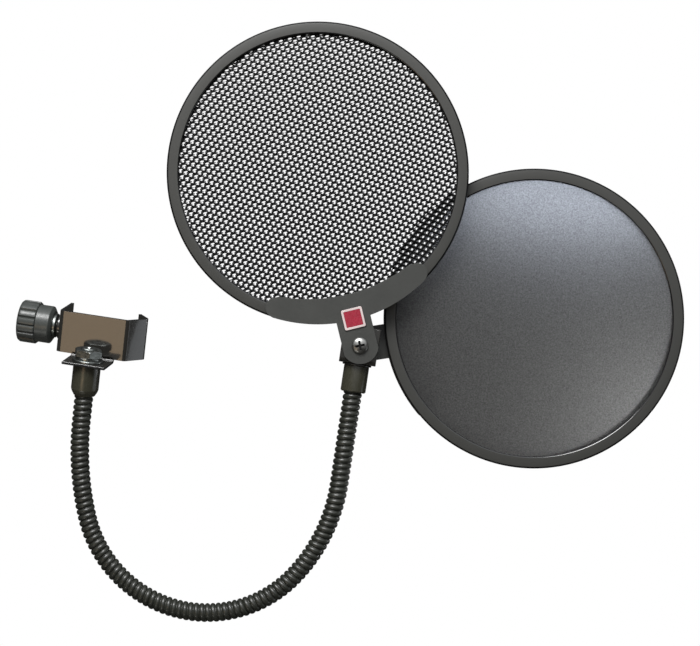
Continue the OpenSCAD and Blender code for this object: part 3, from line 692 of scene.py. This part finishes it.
def neck_axis():
    """Distance along the gooseneck, its axis and two directions across it, in small steps."""
    low = np.array(JOINTS["neck_curl_2"]["pos_m"]) / MM

    def reached(x, z, w, radius, d):
        if radius == 0:
            return x + d * cos(w), z + d * sin(w), w
        a = w + d / radius
        return x + radius * (sin(a) - sin(w)), z - radius * (cos(a) - cos(w)), a

    def walk(x, z, w, run):
        rows = []
        for radius, amount in run:
            length = stretch_length(radius, amount)
            n = max(2, int(length / 0.1))
            rows += [(*reached(x, z, w, radius, length * k / n), length / n) for k in range(n)]
            x, z, w = reached(x, z, w, radius, length)
        return rows, (x, z, w)

    _, span = walk(0, 0, -pi / 2, DOWN_RUN)
    first, _ = walk(-span[0], -span[1] + SOCKET, -pi / 2, [(0, SOCKET)] + DOWN_RUN)
    second, _ = walk(0, 0, 0, UP_RUN + [(0, SOCKET)])
    s, places, across, side = [], [], [], []
    at = -SOCKET
    for rows, lean in ((first, 0.0), (second, LEAN)):
        for x, z, w, step in rows:
            n = np.array((-sin(w), 0, cos(w)))
            b = np.array((0, -1.0, 0))
            p = np.array((x, 0, z))
            if lean:
                turn = np.array(((1, 0, 0), (0, cos(lean), sin(lean)), (0, -sin(lean), cos(lean))))
                n, b, p = turn @ n, turn @ b, turn @ p
                # turned back, so that the section meets the first part's without a twist
                n, b = cos(lean) * n + sin(lean) * b, cos(lean) * b - sin(lean) * n
            s.append(at)
            places.append(low + p)
            across.append(n)
            side.append(b)
            at += step
    return np.array(s), np.array(places), np.array(across), np.array(side)


AXIS_S, AXIS_P, AXIS_N, AXIS_B = neck_axis()


def along(s):
    """Axis place and the two directions across it at given distances."""
    return [np.stack([np.interp(s, AXIS_S, table[:, c]) for c in range(3)], -1)
            for table in (AXIS_P, AXIS_N, AXIS_B)]


def conduit(name, from_s, to_s):
    """Stretch of the wound conduit: one round rib that climbs a pitch each turn."""
    first, last = (round(v / PITCH) * ROWS for v in (from_s, to_s))
    used, order, faces = {}, [], []

    def vertex(j, k):
        key = (j + ROWS, 0) if k == AROUND else (j, k)
        if key not in used:
            used[key] = len(order)
            order.append(key)
        return used[key]

    for j in range(first, last):
        for k in range(AROUND):
            faces.append((vertex(j, k), vertex(j + 1, k), vertex(j + 1, k + 1), vertex(j, k + 1)))
    grid = np.array(order, float)
    phase = (grid[:, 0] / ROWS) % 1.0
    s = (grid[:, 0] / ROWS + grid[:, 1] / AROUND) * PITCH
    off = np.abs(phase - 0.5) * PITCH
    radius = NECK_R - RIB_R + np.sqrt(np.maximum(RIB_R ** 2 - off ** 2, 0))
    p, n, b = along(s)
    w = 2 * pi * grid[:, 1] / AROUND
    verts = p + radius[:, None] * (np.cos(w)[:, None] * n + np.sin(w)[:, None] * b)
    return piece(name, verts, faces, ROW, 180)


ENDS = np.cumsum([0] + [stretch_length(*stretch) for stretch in DOWN_RUN + UP_RUN])
NECK_JOINTS = [("clamp", "segment_2"), ("segment_2", "segment_3"), ("segment_3", "segment_4"),
               ("segment_4", "segment_5"), ("segment_5", "segment_6"), ("segment_6", "yoke")]
# Each length of conduit spans one hinge, and the cuts lie about halfway between hinges.
cuts = [-SOCKET + 1] + [(ENDS[i + 1] + ENDS[i + 2]) / 2 - PITCH / 2 for i in range(5)] \
    + [ENDS[-1] + SOCKET - 4]
for i, (a, b) in enumerate(NECK_JOINTS):
    ob = conduit(f"conduit_{i + 1}", cuts[i], cuts[i + 1])
    reach = 12 if i == 0 else 14  # mm along the neck, on each side of the hinge
    start, end = (along(np.array([ENDS[i + 1] + d]))[0][0] * MM for d in (-reach, reach))
    ob.data.materials.append(NECK_FINISH)
    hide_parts(f"neck_{i + 1}", *(["neck_7"] if i == 5 else []))
    tuple(start)
    tuple(end)
    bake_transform(ob)

# ---------------- upper ferrule and yoke
upper = lathe("upper_ferrule_body", [(4.95, SOCKET, 0), (4.95, 0.4, 0.2), (5.3, 0, 0.2),
                                     (6, 0, 0.2), (UPPER_R, 0.6, 0.4),
                                     (UPPER_R, UPPER_LEN - 0.02, 0.3),
                                     (2.5, UPPER_LEN - 0.02, 0)], NECK_TOP, 128)
finish_piece(upper, "yoke", "ferrule_paint", FERRULE_PAINT, "upper_ferrule")
rim = lathe("yoke_washer_ring", [(2.6, UPPER_LEN, 0), (7.5, UPPER_LEN, 0.35),
                                 (7.5, UPPER_LEN + 1, 0.35), (2.6, UPPER_LEN + 1, 0)],
            NECK_TOP, closed=True)
finish_piece(rim, "yoke", "ferrule_paint", CLAMP_PAINT, "yoke_washer")
yoke_frame = PIVOT_FRAME @ axes((0, 0, 0), (0, 0, -1), (0, 1, 0), (1, 0, 0))
yoke = plate("yoke_fold", [strip_loop([(-SIDE, YOKE_TOP), (-SIDE, YOKE_BASE), (SIDE, YOKE_BASE),
                                       (SIDE, YOKE_TOP)], 2.4, YOKE_T)],
             -YOKE_W / 2, YOKE_W / 2, yoke_frame, 0.3)
carve(yoke, [pin("pivot_hole", PIVOT_HOLE_R, -SIDE - 2, SIDE + 2, PIVOT_FRAME, 48)])
finish_piece(yoke, "yoke", "arm_paint", CLAMP_PAINT, "yoke_bracket")

ARM_OUTER = ARM_FACE + ARM_T
HEAD_Z, HEAD_R, BRIM, DOME = ARM_OUTER + 0.05, 4.2, 0.75, 1.65
dome = [(HEAD_R * cos(w), HEAD_Z + BRIM + DOME * sin(w), 0) for w in np.linspace(0.0, pi / 2, 12)]
head = lathe("pivot_head", [(0, HEAD_Z, 0), (4.0, HEAD_Z, 0.1), (HEAD_R, HEAD_Z + 0.2, 0.1)]
             + dome[:-1] + [(0, HEAD_Z + BRIM + DOME, 0)], PIVOT_FRAME, 96)
recess = plate("pivot_recess", [cross(5.0, 1.15, radians(20))], HEAD_Z + 0.7, HEAD_Z + 4,
               PIVOT_FRAME, 0)
carve(head, [recess])
shank = thread("pivot_shank", 2 * ARM_OUTER + 5.3, 2, 1.75, 0.7,
               PIVOT_FRAME @ Matrix.Translation((0, 0, -(ARM_OUTER + 5.25) * MM)), 32, 8)
screw = finish_piece(joined("pivot_pan_screw", [head, shank]), "yoke", "fastener_steel",
                     (SCREW_STEEL, SHADE_PAINT_BLACK), "pivot_screw")
to_head = PIVOT_FRAME.inverted()
for face in screw.data.polygons:  # the recess, near the middle and below the dome, is painted dark as shade
    x, y, z = to_head @ face.center / MM
    r = math.hypot(x, y)
    dome_z = HEAD_Z + BRIM + DOME * math.sqrt(max(0, 1 - (r / HEAD_R) ** 2))
    if r < 2.6 and HEAD_Z + 0.6 < z < dome_z - 0.08:
        face.material_index = 1
nut = hex_nut("pivot_lock_nut", 7, 3.2, 2,
              PIVOT_FRAME @ Matrix.Translation((0, 0, -(ARM_OUTER + 3.25) * MM)), 0)
collar = lathe("lock_nut_collar", [(2, -ARM_OUTER - 3.2, 0), (3.1, -ARM_OUTER - 3.2, 0),
                                   (3.1, -ARM_OUTER - 4.2, 0.2), (2.6, -ARM_OUTER - 4.65, 0.2),
                                   (2, -ARM_OUTER - 4.65, 0)], PIVOT_FRAME, closed=True)
finish_piece(joined("pivot_nyloc", [nut, collar]), "yoke", "fastener_steel", ZINC, "pivot_nut")


# ---------------- arms
def arm_loop():
    """An arm's outline: a round-ended tongue at the pivot, widening to a crescent on the ring."""
    spread, out_r, in_r, in_y, mid = 31, RING_R + 0.3, 85.7, 112.7, 72.5
    tongue, end_r, cap_r = 8.95, 9.5, 5.2
    start = math.degrees(math.asin(tongue / out_r))
    w0 = math.degrees(math.acos(tongue / end_r))
    cx, cy = mid * sin(radians(spread)), ARM_LEN - mid * cos(radians(spread))
    inner = math.degrees(math.atan2(cx, in_y - cy)) - 0.5
    half = arc(0, ARM_LEN, out_r, -90 + start, -90 + spread, 40)
    half += arc(cx, cy, cap_r, spread - 70, spread + 70, 16)
    return (arc(0, 0, end_r, 180 + w0, 360 - w0, 36) + half
            + arc(0, in_y, in_r, -90 + inner, -90 - inner, 60) + [(-x, y) for x, y in half[::-1]])


for name, place, z, body, node in (
        ("metal_arm_plate", METAL_FRAME, ARM_FACE, "metal_screen", "metal_arm"),
        ("fabric_arm_plate", FABRIC_FRAME, -ARM_OUTER, "fabric_screen", "fabric_arm")):
    ob = plate(name, [arm_loop(), circle(PIVOT_HOLE_R, 48)], z, z + ARM_T, place, 0.3, 50)
    finish_piece(ob, body, "arm_paint", ARM_PAINT, node)


# ---------------- rings
def screw_places(place):
    """Frames of a ring's six screws, the first at the ring's foot."""
    for k in range(6):
        w = -pi / 2 + 2 * pi * k / 6
        x, y = SCREW_CIRCLE * cos(w) * MM, SCREW_CIRCLE * sin(w) * MM
        yield place @ Matrix.Translation((x, y, 0))


def ring_halves(prefix, place, body, front_node, back_node):
    """Front and back bezel, with a fine parting line between them. The front's rounded inner lip is
    glossy and painted near black as shade, its face satin and its outer wall dull and painted black
    as shade."""
    front = lathe(prefix + "_front_bezel",
                  [(RING_IN, -POCKET_FROM, 0), (RING_IN, -LIP_ROUND, 0),
                   *round_corner(RING_IN + LIP_ROUND, -LIP_ROUND, LIP_ROUND, 180, 90, 10),
                   *round_corner(RING_R - OUTER_ROUND, -FACE_FALL - OUTER_ROUND, OUTER_ROUND,
                                 90, 0),
                   (RING_R, -SEAM + 0.15, 0.1), (RING_R - 0.2, -SEAM, 0.05), (POCKET_R, -SEAM, 0),
                   (POCKET_R, -POCKET_FROM, 0)], place, 288, closed=True)
    finish_piece(front, body, "rim_plastic", (RIM_PLASTIC, RIM_GLOSS_SHADE, RIM_WALL_SHADE), front_node)
    from_world = place.inverted()
    for face in front.data.polygons:
        r = (from_world @ face.center / MM).to_2d().length
        face.material_index = 1 if r < RING_IN + SHADED_LIP else 2 if r > RING_R - SHADED_WALL else 0
    back = lathe(prefix + "_back_bezel",
                 [(RING_IN, -POCKET_TO, 0), (POCKET_R - 0.1, -POCKET_TO, 0),
                  (POCKET_R - 0.1, -SEAM, 0), (RING_R - 0.2, -SEAM, 0.05),
                  (RING_R, -SEAM - 0.15, 0.1),
                  *round_corner(RING_R - BACK_ROUND, -RING_H + BACK_ROUND, BACK_ROUND, 0, -90),
                  (RING_IN + 0.45, -RING_H, 0.25), (RING_IN, -RING_H + 0.45, 0.1)],
                 place, 288, closed=True)
    sink = [(0, -RING_H - 1, 0), (1.65, -RING_H - 1, 0), (1.65, -RING_H + 1, 0),
            (0.85, -RING_H + 1, 0), (0.85, -RING_H + 6.25, 0), (0, -RING_H + 6.25, 0)]
    holes = [lathe("sink", sink, at, 32) for at in screw_places(place)]
    # The back bezel is glossy and painted near black as shade.
    finish_piece(carve(back, holes), body, "rim_plastic", RIM_GLOSS_SHADE, back_node)


def ring_screws(name, place, body, node):
    """Six small countersunk screws let into the back of a ring."""
    parts, head_r = [], 1.55
    stem = [(0, -RING_H + 0.5, 0), (head_r, -RING_H + 0.5, 0), (head_r, -RING_H + 0.9, 0),
            (0.75, -RING_H + 1, 0), (0.75, -RING_H + 6.1, 0), (0, -RING_H + 6.1, 0)]
    for k, at in enumerate(screw_places(place)):
        face = plate(f"{name}_face{k}", [circle(head_r, 32), cross(1.9, 0.45, 0.7 * k)], -RING_H,
                     -RING_H + 0.5, at, 0)
        parts += [face, lathe(f"{name}_shank{k}", stem, at, 32)]
    finish_piece(joined(name, parts), body, "fastener_steel", SCREW_STEEL, node)


SCREENS = ("metal", METAL_RING), ("fabric", FABRIC_RING)
for kind, place in SCREENS:
    ring_halves(f"{kind}_ring", place, f"{kind}_screen", f"{kind}_ring_front", f"{kind}_ring_back")
for kind, place in SCREENS:
    ring_screws(f"{kind}_ring_screws", place, f"{kind}_screen", f"{kind}_screws")


# ---------------- expanded metal
LONG_WAY, SHORT_WAY, HOLE_X, HOLE_Y, SHEET_T = 4.7, 3.26, 1.04, 0.42, 0.36
HOLE_UP, LEAN_LOW, LEAN_HIGH, LEAN_SIDE, FACES_UP = 0.2, 0.58, 0.12, 0.16, 0.2
MESH_Z = (-POCKET_FROM - POCKET_TO) / 2 + 0.1


def expanded_metal(name, place, reach):
    """Diamond lattice of slit and stretched sheet. The metal runs back to each hole's lower edge,
    so the bonds between the holes lean and catch the light from above. It is flat at the rim."""
    border = []
    corners = [(LONG_WAY / 2, 0), (0, SHORT_WAY / 2), (-LONG_WAY / 2, 0), (0, -SHORT_WAY / 2)]
    for q in range(4):
        a, b = corners[q], corners[(q + 1) % 4]
        for k in range(3):
            border.append((a[0] + (b[0] - a[0]) * k / 3, a[1] + (b[1] - a[1]) * k / 3))
    rings, n = [], len(border)
    for bx, by in border:
        w = math.atan2(by / SHORT_WAY, bx / LONG_WAY)
        hx, hy, rise = HOLE_X * cos(w), HOLE_UP + HOLE_Y * sin(w), sin(w)
        lift = (LEAN_LOW if rise < 0 else LEAN_HIGH) * -abs(rise) - LEAN_SIDE * (1 - abs(rise))
        mx, my = bx + (hx - bx) * 0.5, by + (hy - by) * 0.5
        rings.append([(bx, by, SHEET_T / 2), (mx, my, lift * 0.42 + SHEET_T / 2),
                      (hx, hy, lift + SHEET_T / 2), (hx, hy, lift - SHEET_T / 2),
                      (bx, by, -SHEET_T / 2)])
    tile = np.array(rings).transpose(1, 0, 2).reshape(-1, 3)
    tile_faces = []
    for j in range(4):
        for k in range(n):
            m = (k + 1) % n
            tile_faces.append((j * n + k, j * n + m, (j + 1) * n + m, (j + 1) * n + k))
    verts, faces = [], []
    span = int(reach / SHORT_WAY * 2) + 2
    for j in range(-span, span + 1):
        for i in range(-span, span + 1):
            x = (i + (j % 2) * 0.5) * LONG_WAY
            y = j * SHORT_WAY / 2
            if math.hypot(x, y) < reach:
                base = len(verts) * len(tile)
                spread = np.clip((RING_IN - np.hypot(tile[:, 0] + x, tile[:, 1] + y)) / 1.5, 0, 1)
                flat = np.sign(tile[:, 2]) * SHEET_T / 2
                verts.append(np.stack([tile[:, 0] + x, tile[:, 1] + y,
                                       MESH_Z + flat + (tile[:, 2] - flat) * spread], -1))
                faces += [tuple(base + v for v in f) for f in tile_faces]
    ob = piece(name, np.concatenate(verts), faces, place, 60)
    bm = bmesh.new()
    bm.from_mesh(ob.data)
    bmesh.ops.remove_doubles(bm, verts=bm.verts[:], dist=0.00002)
    bm.to_mesh(ob.data)
    bm.free()
    ob.data.shade_smooth()
    ob.data.set_sharp_from_angle(angle=radians(60))
    return ob


screen = finish_piece(expanded_metal("expanded_metal_disc", METAL_RING, RING_IN + 1.5),
                      "metal_screen", "mesh_metal", (MESH_METAL, MESH_SHADE_PAINT), "metal_mesh")
turn_back = METAL_RING.inverted().to_3x3()
for face in screen.data.polygons:  # only the faces that lean up are glossy; the rest get a darker copy as painted shade
    if (turn_back @ face.normal).y < FACES_UP:
        face.material_index = 1


# ---------------- cloth
PULLS, PULL_H = 30, 0.2


def cloth_disc(name, place, reach, z, rows=60, around=180):
    """Cloth drawn tight: a disc with faint radial pulls just inside the hoop that grips it."""
    verts, faces = [(0, 0, z)], []
    for j in range(1, rows + 1):
        out = j / rows
        for k in range(around):
            w = 2 * pi * k / around
            pull = PULL_H * out ** 6 * (1 - out) * sin(PULLS * w)
            verts.append((reach * out * cos(w), reach * out * sin(w), z + pull))
    faces += [(0, 1 + k, 1 + (k + 1) % around) for k in range(around)]
    for j in range(rows - 1):
        for k in range(around):
            a, b = 1 + j * around, 1 + (j + 1) * around
            n = (k + 1) % around
            faces.append((a + k, b + k, b + n, a + n))
    return piece(name, verts, faces, place, 180)


CLOTH_R = POCKET_R - 0.4
cloth = cloth_disc("nylon_screen", FABRIC_RING, CLOTH_R, -POCKET_FROM - 0.2)
finish_piece(cloth, "fabric_screen", "cloth", CLOTH, "fabric_cloth")


# ---------------- badge
def round_square(w, h, r):
    """Outline from the middle of its left side, because fillet leaves its first and last points."""
    return fillet([(-w / 2, 0, 0), (-w / 2, -h / 2, r), (w / 2, -h / 2, r), (w / 2, h / 2, r),
                   (-w / 2, h / 2, r), (-w / 2, 0.001, 0)])


badge_frame = METAL_FRAME @ Matrix.Translation((0, 14.3 * MM, ARM_OUTER * MM))
base = plate("badge_base", [round_square(11.4, 11, 1)], 0, 0.45, badge_frame, 0.12)
finish_piece(base, "metal_screen", "badge_enamel", BADGE_BLACK, "badge")
border = plate("badge_border", [round_square(10.9, 10.5, 0.8), round_square(8.7, 8.3, 0.4)], 0.3,
               0.75, badge_frame, 0.12)
finish_piece(border, "metal_screen", "badge_enamel", BADGE_PALE)
field = plate("badge_field", [round_square(8.6, 8.2, 0.35)], 0.3, 0.68, badge_frame, 0.1)
finish_piece(field, "metal_screen", "badge_enamel", BADGE_RED)

# ---------------- CAD nodes that stay as they are, inside or behind other pieces
for node, mat in (("yoke_screw", SCREW_STEEL), ("pivot_spacer", ZINC), ("friction_washers", RUBBER),
                  ("fabric_hoop", RIM_PLASTIC), *((f"core_{k}", CORE_STEEL) for k in range(1, 8))):
    ob = frame["nodes"][node]
    ob.data.materials.clear()
    ob.data.materials.append(mat)


# ---------------- stage, lights, camera
def area_light(name, place, target, size, power, color=(1, 1, 1)):
    data = bpy.data.lights.new(name, "AREA")
    data.shape, data.size, data.size_y = "RECTANGLE", size[0], size[1]
    data.energy, data.color = power, color
    ob = linked(name, data)
    ob.location = place
    ob.rotation_euler = (Vector(target) - Vector(place)).to_track_quat("-Z", "Y").to_euler()
    ob.visible_camera = False


scene = bpy.context.scene
FLOOR_DROP, FLOOR_HALF = 900, 1500
floor_z = cad_box[0][2] / MM - FLOOR_DROP
floor = piece("floor", [(x * FLOOR_HALF, y * FLOOR_HALF, floor_z)
                        for x, y in ((-1, -1), (1, -1), (1, 1), (-1, 1))], [(0, 1, 2, 3)])
floor.data.materials.append(material("floor", (0.8, 0.79, 0.77), roughness=0.9, mottle=0.01,
                                     grain=40, grain_bump=0.01, specular=0.1))
floor.visible_glossy = False  # the photo's background is plain white, so reflections leave it out

# The studio is pale overhead and slightly to the front, dark elsewhere, and white to the camera.
world = bpy.data.worlds.new("studio")
scene.world = world
world.use_nodes = True
tree = world.node_tree
sky = tree.nodes["Background"]
heading = tree.nodes.new("ShaderNodeTexCoord")
towards = tree.nodes.new("ShaderNodeVectorMath")
towards.operation = "DOT_PRODUCT"
towards.inputs[1].default_value = Vector((0.1, -0.45, 0.88)).normalized()
ramp = tree.nodes.new("ShaderNodeValToRGB")
ramp.color_ramp.interpolation = "EASE"
dark, pale = ramp.color_ramp.elements
dark.position, dark.color = 0.42, (0.04, 0.04, 0.037, 1)
pale.position, pale.color = 0.95, (1.0, 1.02, 1.05, 1)
tree.links.new(heading.outputs["Generated"], towards.inputs[0])
tree.links.new(towards.outputs["Value"], ramp.inputs["Fac"])
tree.links.new(ramp.outputs["Color"], sky.inputs["Color"])
white = tree.nodes.new("ShaderNodeBackground")
white.inputs["Color"].default_value = (1, 1, 1, 1)
path = tree.nodes.new("ShaderNodeLightPath")
backdrop = tree.nodes.new("ShaderNodeMixShader")
tree.links.new(path.outputs["Is Camera Ray"], backdrop.inputs["Fac"])
tree.links.new(sky.outputs["Background"], backdrop.inputs[1])
tree.links.new(white.outputs["Background"], backdrop.inputs[2])
tree.links.new(backdrop.outputs["Shader"], tree.nodes["World Output"].inputs["Surface"])

# The key comes from above and in front, the fill from below. The warm lamp shows in the clamp's
# plate and the right one in its slanted panel. Two small lamps close behind the cloth make its
# pale areas.
area_light("key", (-0.08, -0.52, 0.76), (0.08, 0, 0.06), (0.6, 0.34), 12)
area_light("warm_low", (-0.205, -0.8, -0.17), (-0.02, 0, 0), (0.26, 0.2), 0.36, (1.0, 0.74, 0.48))
area_light("low_fill", (-0.12, -0.55, -0.5), (-0.04, 0, -0.02), (0.4, 0.08), 0.42,
           (1.0, 0.98, 0.92))
area_light("right", (0.87, 0.1, -0.18), (0, 0, 0), (0.4, 0.3), 0.35, (0.95, 1.0, 1.05))
glow = FABRIC_RING.to_translation() + UP * 0.064 - FORWARD * 0.036 + Vector((0.006, 0, 0))
area_light("behind_cloth", glow, glow + FORWARD + UP * 0.2, (0.11, 0.02), 0.105, (0.78, 0.85, 1.0))
behind = FABRIC_RING.to_translation() - UP * 0.055 - FORWARD * 0.085 + Vector((0.085, 0, 0))
area_light("behind_right", behind, behind + FORWARD, (0.03, 0.03), 0.11)

AZIMUTH, ELEVATION, ROLL = radians(7.7), radians(11.06), radians(7.04)
back = Vector((sin(AZIMUTH) * cos(ELEVATION), -cos(AZIMUTH) * cos(ELEVATION), sin(ELEVATION)))
level = Vector((cos(AZIMUTH), sin(AZIMUTH), 0))
upward = back.cross(level)
lens = bpy.data.cameras.new("view")
lens.lens, lens.sensor_width = 135, 36
camera = linked("view", lens)
camera.matrix_world = axes((0.2953, -1.3081, 0.2825), cos(ROLL) * level + sin(ROLL) * upward,
                           cos(ROLL) * upward - sin(ROLL) * level, back)
scene.camera = camera
scene.view_settings.view_transform = "Standard"
